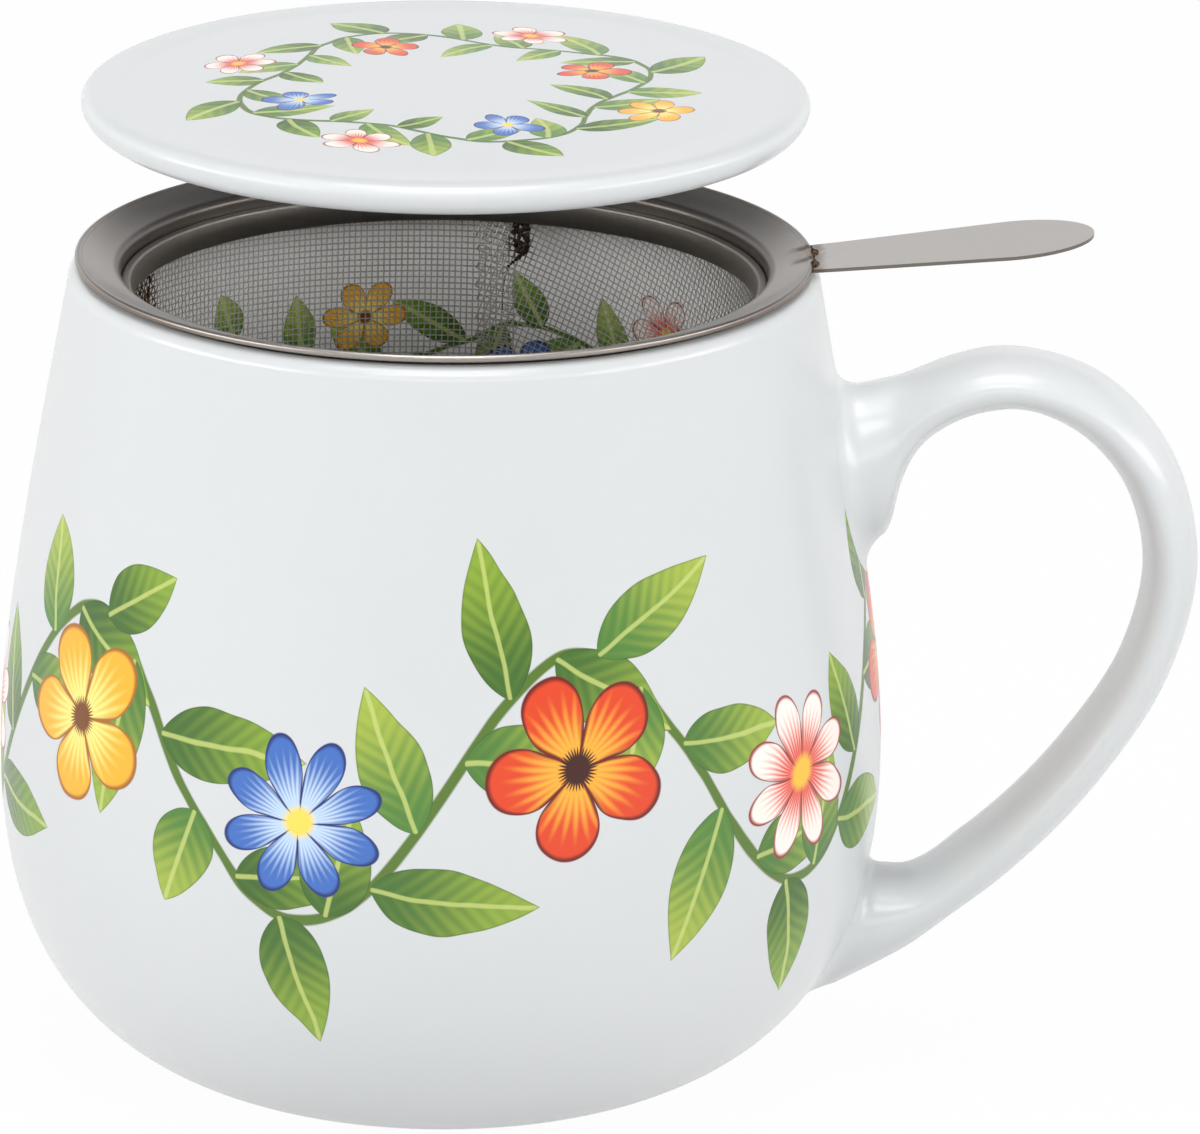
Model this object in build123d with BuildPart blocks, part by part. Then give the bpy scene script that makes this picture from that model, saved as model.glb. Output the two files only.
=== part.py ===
"""A porcelain mug with a hanging mesh strainer and a loose lid, in millimetres.

The origin is on the mug's axis, on the table. The handle and the strainer's tab point along +X.
The lid hovers above its seat, as it does when it is lifted off.
"""

from build123d import *
from math import cos, degrees, radians, sin, tan
import os

os.makedirs("parts", exist_ok=True)

# Mug body
mug_height = 92.5
belly_radius = 49.25
belly_height = 34.0
lip_radius = 41.5
wall = 3.8
lip_round = 1.75
floor_thickness = 4.8
foot_radius = 25.0
foot_width = 3.2
foot_recess = 1.2

# The outer wall between foot and belly, then between belly and lip
base_curve_shares = [(0.602, 0.225), (0.843, 0.47)]
upper_curve_shares = [(0.79, 0.385), (0.43, 0.68)]
foot_slope_share = 0.2
lip_slope_share = 0.17

# Mug handle, as an oval strap
handle_reach = 32.4
handle_thickness = 6.0
handle_width = 14.3

# Handle sections from the upper root to the lower one: outward place, height, turn in degrees,
# thickness and width
handle_section_shares = [
    (-0.17, 0.740, 0, 3.30, 1.20),
    (0.02, 0.7735, 0, 2.74, 1.08),
    (0.06, 0.800, -3, 2.06, 1.04),
    (0.13, 0.829, -8, 1.50, 1.02),
    (0.23, 0.850, -7, 1.20, 1.00),
    (0.41, 0.865, 0, 1.03, 1.00),
    (0.69, 0.837, -26, 1.08, 1.00),
    (0.876, 0.772, -54, 1.06, 1.00),
    (0.988, 0.644, -90, 1.025, 1.00),
    (0.916, 0.517, -110, 0.98, 1.00),
    (0.6985, 0.3895, -127, 1.00, 1.00),
    (0.348, 0.261, -141, 1.07, 1.00),
    (0.157, 0.2115, -147, 1.15, 1.02),
    (0.01, 0.1885, -176, 1.72, 1.08),
    (-0.22, 0.1665, -180, 2.45, 1.20),
]

# Strainer rim, pressed from sheet
rim_sheet = 0.4
flange_width = 4.7
flange_slope_degrees = 12.5
hem_radius = 0.4
neck_clearance = 1.4
neck_depth = 4.2
neck_bend = 0.9
seat_clearance = 0.3

# Mesh basket
mesh_thickness = 0.4
fit_gap = 0.05
ring_thickness = 0.6
ring_drop = 1.3
ring_round = 0.25
basket_depth = 57.0
basket_taper_degrees = 3.2
wall_columns = 20
wall_rows = 5
wire_width = 0.9
seam_width = 5.0
seam_turn_degrees = 77.0
floor_pitch = 5.4
base_ring_height = 2.6
base_ring_lip = 2.2

# Tab and its welds
tab_thickness = 0.4
tab_root_width = 9.1
tab_middle_width = 11.1
tab_tip_width = 13.4
tab_length = 31.0
tab_tilt_degrees = 6.0
tab_middle_share = 0.43
tab_wide_share = 0.73
weld_radius = 0.5
weld_length_share = 0.38

# Lid
lid_inset = 0.7
lid_seat_width = 2.3
lid_edge_height = 2.3
lid_shoulder_width = 6.0
lid_shoulder_height = 1.3
lid_crown = 0.7
lid_thickness = 3.6
lid_ring_clearance = 2.3
lid_ring_width = 3.0
lid_ring_depth = 1.5
lid_ring_round = 0.6
lid_lift = 15.8

# Cuts run this far past what they cut
overrun = 2.0

# Mug body, turned from one outline
lip_inner_radius = lip_radius - wall
lip_middle_radius = lip_radius - wall / 2


def between(low, high, share):
    """The place at this share of the way from low to high."""
    return low + (high - low) * share


def outer_points(inset):
    """The outer wall's points, moved inwards by inset where the wall stands steep."""
    base = [
        (between(foot_radius, belly_radius, out) - inset * out, belly_height * up + inset * (1 - out))
        for out, up in base_curve_shares
    ]
    upper = [
        (between(lip_radius, belly_radius, out) - inset, between(belly_height, mug_height, up))
        for out, up in upper_curve_shares
    ]
    return [*base, (belly_radius - inset, belly_height), *upper, (lip_radius - inset, mug_height)]


inner_floor = foot_recess + floor_thickness
foot_inner_radius = foot_radius - foot_width

with BuildPart() as mug_body:
    with BuildSketch(Plane.XZ):
        with BuildLine():
            outside = Spline(
                (foot_radius, 0),
                *outer_points(0),
                tangents=[(1, foot_slope_share), (-lip_slope_share, 1)],
            )
            Line(outside @ 1, (lip_inner_radius, mug_height))
            inside = Spline(
                (lip_inner_radius, mug_height),
                *reversed(outer_points(wall)[:-1]),
                (foot_inner_radius, inner_floor),
                tangents=[(lip_slope_share, -1), (-1, 0)],
            )
            Polyline(
                inside @ 1,
                (0, inner_floor),
                (0, foot_recess),
                (foot_inner_radius - foot_recess, foot_recess),
                (foot_inner_radius, 0),
                (foot_radius, 0),
            )
        make_face()
    revolve(axis=Axis.Z)
    lip_edges = mug_body.edges().filter_by(GeomType.CIRCLE).group_by(Axis.Z)[-1]
    fillet(lip_edges, lip_round)

mug_body.part.label = "mug_body"
export_step(mug_body.part, "parts/mug_body.step")

# Mug handle, lofted through ovals and cut to the curve of the body
with BuildPart() as mug_handle:
    for out, up, turn, thick, wide in handle_section_shares:
        section = Plane(
            origin=(belly_radius + handle_reach * out, 0, mug_height * up),
            x_dir=(0, 1, 0),
            z_dir=(cos(radians(turn)), 0, sin(radians(turn))),
        )
        with BuildSketch(section):
            Ellipse(handle_width * wide / 2, handle_thickness * thick / 2)
    loft()
    with BuildSketch(Plane.XZ):
        with BuildLine():
            outside = Spline(
                (foot_radius, 0),
                *outer_points(0),
                tangents=[(1, foot_slope_share), (-lip_slope_share, 1)],
            )
            Polyline(outside @ 1, (0, mug_height), (0, 0), (foot_radius, 0))
        make_face()
    revolve(axis=Axis.Z, mode=Mode.SUBTRACT)

mug_handle.part.label = "mug_handle"
export_step(mug_handle.part, "parts/mug_handle.step")

# Strainer rim: hemmed cone above the lip, bent down into the neck
flange_slope = tan(radians(flange_slope_degrees))
lip_seat = mug_height + seat_clearance


def flange_under(radius):
    """The height of the flange's underside at this radius."""
    return lip_seat + (radius - lip_middle_radius) * flange_slope


neck_radius = lip_inner_radius - neck_clearance
flange_radius = neck_radius + flange_width
neck_top = flange_under(neck_radius)
neck_bottom = neck_top - neck_depth
hem_place = flange_radius - hem_radius

with BuildPart() as strainer_rim:
    with BuildSketch(Plane.XZ) as rim_outline:
        with BuildLine():
            Polyline(
                (hem_place, flange_under(hem_place)),
                (neck_radius, neck_top),
                (neck_radius, neck_bottom),
                (neck_radius - rim_sheet, neck_bottom),
                (neck_radius - rim_sheet, flange_under(neck_radius - rim_sheet) + rim_sheet),
                (hem_place, flange_under(hem_place) + rim_sheet),
                close=True,
            )
        make_face()
        bends = rim_outline.vertices().filter_by_position(Axis.X, neck_radius - rim_sheet, neck_radius)
        fillet(bends.group_by(Axis.Y)[-1], neck_bend + rim_sheet)
        fillet(bends.group_by(Axis.Y)[-2], neck_bend)
        with Locations((hem_place, flange_under(hem_place) + hem_radius)):
            Circle(hem_radius)
    revolve(axis=Axis.Z)

strainer_rim.part.label = "strainer_rim"
export_step(strainer_rim.part, "parts/strainer_rim.step")

# Mesh wall: a clamped band at the top, then a cone with open cells
mesh_outer_radius = neck_radius - rim_sheet - fit_gap
mesh_inner_radius = mesh_outer_radius - mesh_thickness
ring_top = neck_top - ring_drop
mesh_top = ring_top - ring_thickness - fit_gap
basket_floor = neck_bottom - basket_depth
basket_narrowing = basket_depth * tan(radians(basket_taper_degrees))
cell_height = basket_depth / wall_rows


def cone_radius(height):
    """The mesh wall's outer radius at this height below the clamp."""
    return mesh_outer_radius - (neck_bottom - height) * tan(radians(basket_taper_degrees))


with BuildPart() as strainer_mesh_wall:
    with BuildSketch(Plane.XZ):
        with BuildLine():
            Polyline(
                (mesh_outer_radius, mesh_top),
                (mesh_outer_radius, neck_bottom),
                (mesh_outer_radius - basket_narrowing, basket_floor),
                (mesh_inner_radius - basket_narrowing, basket_floor),
                (mesh_inner_radius, neck_bottom),
                (mesh_inner_radius, mesh_top),
                close=True,
            )
        make_face()
    revolve(axis=Axis.Z)
    for row in range(wall_rows):
        cell_foot = basket_floor + cell_height * row
        cell_radius = cone_radius(cell_foot + cell_height / 2)
        with BuildSketch(Plane.XY.offset(cell_foot + wire_width / 2)):
            Circle(mesh_outer_radius + overrun)
            Circle(mesh_outer_radius - basket_narrowing - mesh_thickness - overrun, mode=Mode.SUBTRACT)
            with PolarLocations(cell_radius, wall_columns):
                Rectangle(cell_radius, wire_width, mode=Mode.SUBTRACT)
        extrude(amount=cell_height - wire_width, mode=Mode.SUBTRACT)

strainer_mesh_wall.part.label = "strainer_mesh_wall"
export_step(strainer_mesh_wall.part, "parts/strainer_mesh_wall.step")

# Retaining ring: a band inside the mesh, turned out over the mesh's top edge
ring_outer_radius = mesh_inner_radius - fit_gap
ring_inner_radius = ring_outer_radius - ring_thickness

with BuildPart() as strainer_retaining_ring:
    with BuildSketch(Plane.XZ):
        with BuildLine():
            Polyline(
                (ring_inner_radius, neck_bottom),
                (ring_outer_radius, neck_bottom),
                (ring_outer_radius, ring_top - ring_thickness),
                (mesh_outer_radius, ring_top - ring_thickness),
                (mesh_outer_radius, ring_top),
                (ring_inner_radius, ring_top),
                close=True,
            )
        make_face()
    revolve(axis=Axis.Z)
    top_edges = strainer_retaining_ring.edges().group_by(Axis.Z)[-1]
    fillet(top_edges, ring_round)

strainer_retaining_ring.part.label = "strainer_retaining_ring"
export_step(strainer_retaining_ring.part, "parts/strainer_retaining_ring.step")

# Seam: the lap of the rolled mesh, lying on the inside of the wall
seam_top = neck_bottom - fit_gap
seam_bottom = basket_floor + mesh_thickness + fit_gap
seam_turn = radians(seam_turn_degrees)
seam_arc_degrees = degrees(seam_width / mesh_inner_radius)
seam_plane = Plane(
    origin=(0, 0, 0),
    x_dir=(cos(seam_turn), sin(seam_turn), 0),
    z_dir=(sin(seam_turn), -cos(seam_turn), 0),
)


def seam_radius(height):
    """The radius of the seam's outer face, just inside the mesh wall."""
    return cone_radius(height) - mesh_thickness - fit_gap


with BuildPart() as strainer_mesh_seam:
    with BuildSketch(seam_plane):
        with BuildLine():
            Polyline(
                (seam_radius(seam_top), seam_top),
                (seam_radius(seam_bottom), seam_bottom),
                (seam_radius(seam_bottom) - mesh_thickness, seam_bottom),
                (seam_radius(seam_top) - mesh_thickness, seam_top),
                close=True,
            )
        make_face()
    revolve(axis=Axis.Z, revolution_arc=seam_arc_degrees)

strainer_mesh_seam.part.label = "strainer_mesh_seam"
export_step(strainer_mesh_seam.part, "parts/strainer_mesh_seam.step")

# Mesh floor: a disc with open cells inside a plain edge
floor_radius = seam_radius(basket_floor)
floor_cell = floor_pitch - wire_width
cells_across = int(2 * floor_radius / floor_pitch)
cell_corner = floor_cell / 2 * 2**0.5

with BuildPart() as strainer_mesh_floor:
    with BuildSketch(Plane.XY.offset(basket_floor)):
        Circle(floor_radius)
        for cell in GridLocations(floor_pitch, floor_pitch, cells_across, cells_across):
            if cell.position.length + cell_corner < floor_radius - base_ring_lip:
                with Locations(cell):
                    Rectangle(floor_cell, floor_cell, mode=Mode.SUBTRACT)
    extrude(amount=mesh_thickness)

strainer_mesh_floor.part.label = "strainer_mesh_floor"
export_step(strainer_mesh_floor.part, "parts/strainer_mesh_floor.step")

# Base ring: a band around the wall's foot, turned in under wall and floor
base_ring_inner_radius = cone_radius(basket_floor + base_ring_height) + fit_gap
base_ring_outer_radius = base_ring_inner_radius + rim_sheet

with BuildPart() as strainer_base_ring:
    with BuildSketch(Plane.XZ):
        with BuildLine():
            Polyline(
                (base_ring_inner_radius, basket_floor + base_ring_height),
                (base_ring_inner_radius, basket_floor),
                (floor_radius - base_ring_lip, basket_floor),
                (floor_radius - base_ring_lip, basket_floor - rim_sheet),
                (base_ring_outer_radius, basket_floor - rim_sheet),
                (base_ring_outer_radius, basket_floor + base_ring_height),
                close=True,
            )
        make_face()
    revolve(axis=Axis.Z)

strainer_base_ring.part.label = "strainer_base_ring"
export_step(strainer_base_ring.part, "parts/strainer_base_ring.step")

# Tab: a sheet butted against the hem and bent up, cut to a spoon outline
tab_under = flange_under(hem_place) + hem_radius
tab_over = tab_under + tab_thickness
tab_tip = flange_radius + tab_length
tab_rise = tab_length * tan(radians(tab_tilt_degrees))

with BuildPart() as strainer_tab:
    with BuildSketch(Plane.XZ):
        with BuildLine():
            Polyline(
                (neck_radius, tab_under),
                (flange_radius, tab_under),
                (tab_tip, tab_under + tab_rise),
                (tab_tip, tab_over + tab_rise),
                (flange_radius, tab_over),
                (neck_radius, tab_over),
                close=True,
            )
        make_face()
    extrude(amount=tab_tip_width, both=True)
    with BuildSketch(Plane.XY.offset(tab_under - overrun)):
        with BuildLine():
            Polyline((neck_radius, 0), (neck_radius, tab_root_width / 2), (flange_radius, tab_root_width / 2))
            Spline(
                (flange_radius, tab_root_width / 2),
                (between(flange_radius, tab_tip, tab_middle_share), tab_middle_width / 2),
                (between(flange_radius, tab_tip, tab_wide_share), tab_tip_width / 2),
                (tab_tip, 0),
                tangents=[(1, 0), (0, -1)],
            )
            mirror(about=Plane.XZ)
        make_face()
        Circle(flange_radius + fit_gap, mode=Mode.SUBTRACT)
    extrude(amount=tab_rise + tab_thickness + 2 * overrun, mode=Mode.INTERSECT)

strainer_tab.part.label = "strainer_tab"
export_step(strainer_tab.part, "parts/strainer_tab.step")

# Tab welds: two beads in the corner between the hem and the tab
weld_arc_degrees = degrees(tab_root_width * weld_length_share / flange_radius)
weld_start_degrees = degrees(tab_root_width / 2 / flange_radius) - weld_arc_degrees

with BuildPart() as tab_welds:
    for start_degrees in (weld_start_degrees, -weld_start_degrees - weld_arc_degrees):
        start = radians(start_degrees)
        bead_plane = Plane(
            origin=(0, 0, 0),
            x_dir=(cos(start), sin(start), 0),
            z_dir=(sin(start), -cos(start), 0),
        )
        with BuildSketch(bead_plane):
            with Locations((flange_radius, tab_over)):
                Circle(weld_radius)
        revolve(axis=Axis.Z, revolution_arc=weld_arc_degrees)
    add(strainer_rim.part, mode=Mode.SUBTRACT)
    add(strainer_tab.part, mode=Mode.SUBTRACT)

tab_welds.part.label = "tab_welds"
export_step(tab_welds.part, "parts/tab_welds.step")

# Lid: crowned top, rounded shoulder, seat ring and locating ring
lid_radius = flange_radius - lid_inset
lid_seat_radius = lid_radius - lid_seat_width
lid_seat = flange_under(lid_seat_radius) + rim_sheet + seat_clearance
lid_foot = lid_seat + lid_lift
lid_edge = lid_foot + lid_edge_height
lid_shoulder = lid_edge + lid_shoulder_height
lid_top = lid_shoulder + lid_crown
lid_under = lid_top - lid_thickness
lid_shoulder_radius = lid_radius - lid_shoulder_width
lid_ring_radius = ring_inner_radius - lid_ring_clearance
lid_ring_inner_radius = lid_ring_radius - lid_ring_width
lid_ring_foot = lid_foot - lid_ring_depth

with BuildPart() as lid:
    with BuildSketch(Plane.XZ):
        with BuildLine():
            crown = TangentArc((0, lid_top), (lid_shoulder_radius, lid_shoulder), tangent=(1, 0))
            Spline(
                crown @ 1,
                (lid_radius, lid_edge),
                tangents=[crown % 1, (0, -1)],
            )
            edge = Spline(
                (lid_radius, lid_edge),
                (lid_seat_radius, lid_foot),
                tangents=[(0, -1), (-1, 0)],
            )
            Polyline(
                edge @ 1,
                (lid_seat_radius - lid_seat_width, lid_foot),
                (lid_ring_radius, lid_under),
                (lid_ring_radius, lid_ring_foot),
                (lid_ring_inner_radius, lid_ring_foot),
                (lid_ring_inner_radius, lid_under),
                (0, lid_under),
                (0, lid_top),
            )
        make_face()
    revolve(axis=Axis.Z)
    ring_edges = lid.edges().filter_by(GeomType.CIRCLE).group_by(Axis.Z)[0]
    fillet(ring_edges, lid_ring_round)

lid.part.label = "lid"
export_step(lid.part, "parts/lid.step")
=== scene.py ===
"""The looks of a strainer mug: glazed porcelain with a leaf and blossom print, satin steel and woven wire.

Every length is in metres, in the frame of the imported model, apart from those in the materials, which are in
millimetres. Turns of the print and of the lamps are counted from the front, where the camera stands, and grow
towards the handle. Turns in the strainer are counted from the handle and grow towards the back.
"""

import math
import random
from collections import namedtuple

import bmesh
import bpy
import numpy as np
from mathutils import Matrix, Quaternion, Vector


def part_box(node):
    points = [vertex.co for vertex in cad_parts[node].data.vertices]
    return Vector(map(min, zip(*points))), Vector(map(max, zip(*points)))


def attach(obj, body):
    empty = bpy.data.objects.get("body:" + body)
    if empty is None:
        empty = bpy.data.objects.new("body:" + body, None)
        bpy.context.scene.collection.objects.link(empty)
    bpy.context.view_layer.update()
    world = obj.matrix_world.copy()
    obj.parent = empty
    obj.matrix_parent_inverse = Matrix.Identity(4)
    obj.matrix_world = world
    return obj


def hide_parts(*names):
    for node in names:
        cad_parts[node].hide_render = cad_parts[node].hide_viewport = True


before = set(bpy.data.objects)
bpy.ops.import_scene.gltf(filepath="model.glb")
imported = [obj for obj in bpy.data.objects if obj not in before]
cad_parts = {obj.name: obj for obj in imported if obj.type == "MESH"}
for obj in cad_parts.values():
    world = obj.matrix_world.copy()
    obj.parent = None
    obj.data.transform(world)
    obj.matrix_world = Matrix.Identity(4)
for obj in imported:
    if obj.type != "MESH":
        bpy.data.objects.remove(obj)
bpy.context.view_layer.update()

# Sizes read from the frame
mug_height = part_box("mug_body")[1][2]
rim_low, rim_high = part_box("strainer_rim")
flange_radius = rim_high[1]
mesh_low, mesh_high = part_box("strainer_mesh_wall")
mesh_radius = mesh_high[1]
lid_low, lid_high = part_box("lid")
lid_radius = lid_high[1]
ring_low, ring_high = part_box("strainer_retaining_ring")
base_low, base_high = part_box("strainer_base_ring")
tab_low, tab_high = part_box("strainer_tab")

# Mug sizes
belly_radius = 0.04925
wall = 0.0038
lip_radius = 0.0415
lip_round = 0.00175
foot_radius = 0.025
foot_width = 0.0032
foot_recess = 0.0012
floor_height = 0.006
belly_height = 0.034
base_curve_shares = [(0.602, 0.225), (0.843, 0.47)]
upper_curve_shares = [(0.79, 0.385), (0.43, 0.68)]
foot_slope_share = 0.2
lip_slope_share = 0.17

# Handle sizes, and its sections: outward place, height, turn in degrees, thickness and width
handle_reach = 0.0324
handle_thickness = 0.006
handle_width = 0.0143
root_blend = 0.0026
handle_section_shares = [
    (-0.17, 0.740, 0, 3.30, 1.20),
    (0.02, 0.7735, 0, 2.74, 1.08),
    (0.06, 0.800, -3, 2.06, 1.04),
    (0.13, 0.829, -8, 1.50, 1.02),
    (0.23, 0.850, -7, 1.20, 1.00),
    (0.41, 0.865, 0, 1.03, 1.00),
    (0.69, 0.837, -26, 1.08, 1.00),
    (0.876, 0.772, -54, 1.06, 1.00),
    (0.988, 0.644, -90, 1.025, 1.00),
    (0.916, 0.517, -110, 0.98, 1.00),
    (0.6985, 0.3895, -127, 1.00, 1.00),
    (0.348, 0.261, -141, 1.07, 1.00),
    (0.157, 0.2115, -147, 1.15, 1.02),
    (0.01, 0.1885, -176, 1.72, 1.08),
    (-0.22, 0.1665, -180, 2.45, 1.20),
]

# Strainer sizes
sheet = 0.0004
hem_radius = 0.0004
flange_slope = math.tan(math.radians(12.5))
neck_radius = 0.0363
neck_bend = 0.0005
ring_thickness = 0.0006
ring_step = 0.00045
basket_taper = math.radians(3.2)
base_ring_lip = 0.0022
base_ring_round = 0.0004
wire_pitch = 0.00068
wire_radius = 0.000092
seam_turn = math.radians(77)
clamp_turn = math.radians(161)
seam_lap = 0.0045

# Tab sizes
tab_thickness = 0.0004
tab_root_width = 0.01
tab_wide_width = 0.0145
tab_round_length = 0.0089
tab_round_degrees = 97
tab_tilt = math.radians(6)
tab_drop = 0.00015

# Lid sizes
lid_edge_height = 0.0023
lid_seat_width = 0.0023
lid_shoulder_width = 0.006
lid_shoulder_height = 0.0013
lid_thickness = 0.0036
lid_ring_radius = 0.0325
lid_ring_width = 0.003
lid_ring_depth = 0.0015
lid_ring_round = 0.0006

# Weld sizes: the beads of the tab with the place and half width of their two thick places, the seam's scale
# with its middle and half width at depths below the rim, and the clamp's burnt wire ends
bead_count = 33
bead_row_share = 0.96
bead_half_width = 0.00032
bead_thin, bead_thick = 0.0002, 0.00032
bead_humps = [(0.0021, 0.0009), (-0.0028, 0.0012)]
scale_length = 0.0104
scale_step = 0.00025
scale_middle = [(0.0038, 0.0007), (0.0052, -0.0008), (0.0075, -0.0012), (0.0104, -0.0013)]
scale_half_width = [(0, 0.0009), (0.003, 0.0008), (0.0048, 0.0003), (0.006, 0.00004)]
scale_lump_sizes = 0.00008, 0.0003
scale_thickness = 0.0001
wire_end_count = 18
wire_end_spread = 0.0026
wire_end_depths = 0.0006, 0.0052
wire_end_lengths = 0.0003, 0.0008

# Camera, as the photograph was taken
camera_distance = 1.544
camera_elevation = math.radians(17.52)
camera_pivot = Vector((0, 0, 0.0456))
camera_aim = Vector((0.01762, 0, 0.05755))
camera_roll = math.radians(0.65)
camera_lens = 413.9
camera_sensor = 36

# Lamps: turn and elevation in degrees, width, height and power
lamp_distance = 1.9
lamp_aim = Vector((0, 0, 0.07))
low_lamps = {
    "lamp_left": (-70, 19, 2.0, 0.55, 20.5),
    "lamp_right": (70, 19, 2.0, 0.55, 18),
    "lamp_front": (0, 20, 2.4, 0.4, 10),
}
high_lamps = {
    "lamp_high": (0, 58, 1.0, 0.5, 11),
    "lamp_top": (0, 90, 1.0, 1.0, 18),
}


# Curves and meshes


def fill_curve(rows, slopes, steps, count):
    """Rows at even places along the smooth curve through rows, these steps apart, with these slopes."""
    runs = np.concatenate([[0], np.cumsum(steps)])
    wanted = np.linspace(0, runs[-1], count)
    k = np.clip(np.searchsorted(runs, wanted) - 1, 0, len(runs) - 2)
    h = steps[k][:, None]
    t = ((wanted - runs[k]) / steps[k])[:, None]
    return (
        (2 * t**3 - 3 * t**2 + 1) * rows[k]
        + (t**3 - 2 * t**2 + t) * h * slopes[k]
        + (3 * t**2 - 2 * t**3) * rows[k + 1]
        + (t**3 - t**2) * h * slopes[k + 1]
    )


def smooth_curve(points, start, end, count):
    """Points along a smooth curve through points, which leaves along start and arrives along end."""
    points = np.array(points, float)
    steps = np.linalg.norm(np.diff(points, axis=0), axis=1)
    n = len(points)
    system, goal = np.eye(n), np.zeros_like(points)
    goal[0] = np.array(start) / np.linalg.norm(start)
    goal[-1] = np.array(end) / np.linalg.norm(end)
    for i in range(1, n - 1):
        before, after = steps[i - 1], steps[i]
        system[i, i - 1 : i + 2] = 1 / before, 2 / before + 2 / after, 1 / after
        goal[i] = 3 * (points[i] - points[i - 1]) / before**2 + 3 * (points[i + 1] - points[i]) / after**2
    return fill_curve(points, np.linalg.solve(system, goal), steps, count)


def arc(centre, radius, start, end, count=9):
    """Points of a circle from start to end, in degrees."""
    turn = np.radians(np.linspace(start, end, count))
    return np.stack([centre[0] + radius * np.cos(turn), centre[1] + radius * np.sin(turn)], 1)


def mesh_object(name, vertices, faces, sharp_degrees=40):
    """A smooth mesh object with creases where its faces meet sharply."""
    mesh = bpy.data.meshes.new(name)
    mesh.from_pydata(np.asarray(vertices).tolist(), [], faces)
    mesh.update()
    mesh.shade_smooth()
    mesh.set_sharp_from_angle(angle=math.radians(sharp_degrees))
    piece = bpy.data.objects.new(name, mesh)
    bpy.context.collection.objects.link(piece)
    return piece


def grid_faces(rows, columns, closed=False):
    """Quads between the points of a grid, joined round its columns if closed."""
    faces = []
    for r in range(rows - 1):
        for c in range(columns if closed else columns - 1):
            here, following = r * columns, (r + 1) * columns
            side = (c + 1) % columns
            faces.append((here + c, here + side, following + side, following + c))
    return faces


def lathe(name, profile, segments=256, closed=False):
    """A profile of (radius, height) turned round the Z axis. A closed profile makes a ring."""
    profile = np.array(profile, float)
    keep = [True, *(np.linalg.norm(np.diff(profile, axis=0), axis=1) > 1e-7)]
    profile = profile[keep]
    if closed:
        profile = np.concatenate([profile, profile[:1]])
    turn = np.linspace(0, 2 * math.pi, segments, endpoint=False)
    x = profile[:, :1] * np.cos(turn)
    y = profile[:, :1] * np.sin(turn)
    z = np.repeat(profile[:, 1:], segments, 1)
    vertices = np.stack([x, y, z], 2).reshape(-1, 3)
    piece = mesh_object(name, vertices, grid_faces(len(profile), segments, closed=True))
    merge_close(piece)
    return piece


def merge_close(piece):
    """Joins points that lie together, as on the axis, and turns all faces outwards."""
    work = bmesh.new()
    work.from_mesh(piece.data)
    bmesh.ops.remove_doubles(work, verts=work.verts, dist=1e-8)
    bmesh.ops.recalc_face_normals(work, faces=work.faces)
    work.to_mesh(piece.data)
    work.free()


# Porcelain outlines


def between(low, high, share):
    """The place at this share of the way from low to high."""
    return low + (high - low) * share


def wall_points(inset):
    """Points of the mug's wall, moved inwards by inset where the wall stands steep."""
    base = [
        (between(foot_radius, belly_radius, out) - inset * out, belly_height * up + inset * (1 - out))
        for out, up in base_curve_shares
    ]
    upper = [
        (between(lip_radius, belly_radius, out) - inset, between(belly_height, mug_height, up))
        for out, up in upper_curve_shares
    ]
    return [*base, (belly_radius - inset, belly_height), *upper, (lip_radius - inset, mug_height)]


foot_inner_radius = foot_radius - foot_width
outer_wall = smooth_curve(
    [(foot_radius, 0), *wall_points(0)],
    (1, foot_slope_share),
    (-lip_slope_share, 1),
    160,
)
inner_wall = smooth_curve(
    [*reversed(wall_points(wall)), (foot_inner_radius, floor_height)],
    (lip_slope_share, -1),
    (-1, 0),
    140,
)


def wall_radius(height):
    """The outer wall's radius at this height."""
    return np.interp(height, outer_wall[:, 1], outer_wall[:, 0])


def make_body():
    """The mug's body, turned from its outline with a rounded lip."""
    lip_base = mug_height - lip_round
    outer = outer_wall[outer_wall[:, 1] < lip_base]
    inner = inner_wall[inner_wall[:, 1] < lip_base]
    outer_centre = (wall_radius(lip_base) - lip_round, lip_base)
    inner_edge = inner[0][0]
    inner_centre = (inner_edge + lip_round, lip_base)
    profile = np.concatenate([
        [(0, foot_recess), (foot_inner_radius - foot_recess, foot_recess), (foot_inner_radius, 0)],
        outer,
        arc(outer_centre, lip_round, 0, 90),
        arc(inner_centre, lip_round, 90, 180),
        inner,
        [(0, floor_height)],
    ])
    return lathe("mug_body_glazed", profile)


def handle_surface():
    """The handle's rings from the upper root to the lower one, as an array of rings, points and axes."""
    shares = np.array(handle_section_shares)
    centres = np.stack([belly_radius + handle_reach * shares[:, 0], mug_height * shares[:, 1]], 1)
    turns = np.radians(shares[:, 2])
    sizes = np.stack([handle_thickness * shares[:, 3] / 2, handle_width * shares[:, 4] / 2], 1)
    steps = np.linalg.norm(np.diff(centres, axis=0), axis=1)
    rows = np.concatenate([centres, np.cos(turns)[:, None], np.sin(turns)[:, None], sizes], 1)
    slopes = np.gradient(rows, np.concatenate([[0], np.cumsum(steps)]), axis=0)
    dense = fill_curve(rows, slopes, steps, count=420)
    x, z, along_x, along_z, thick, wide = dense.T[:, :, None]
    length = np.hypot(along_x, along_z)
    across_x, across_z = -along_z / length, along_x / length
    turn = np.linspace(0, 2 * math.pi, num=72, endpoint=False)
    out = thick * np.sin(turn)
    return np.stack([x + across_x * out, wide * np.cos(turn), z + across_z * out], 2)


def on_wall(points):
    """These points, moved straight out or in to the mug's outer wall."""
    length = np.hypot(points[..., 0], points[..., 1])
    scale = wall_radius(points[..., 2]) / length
    return np.stack([points[..., 0] * scale, points[..., 1] * scale, points[..., 2]], -1)


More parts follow.
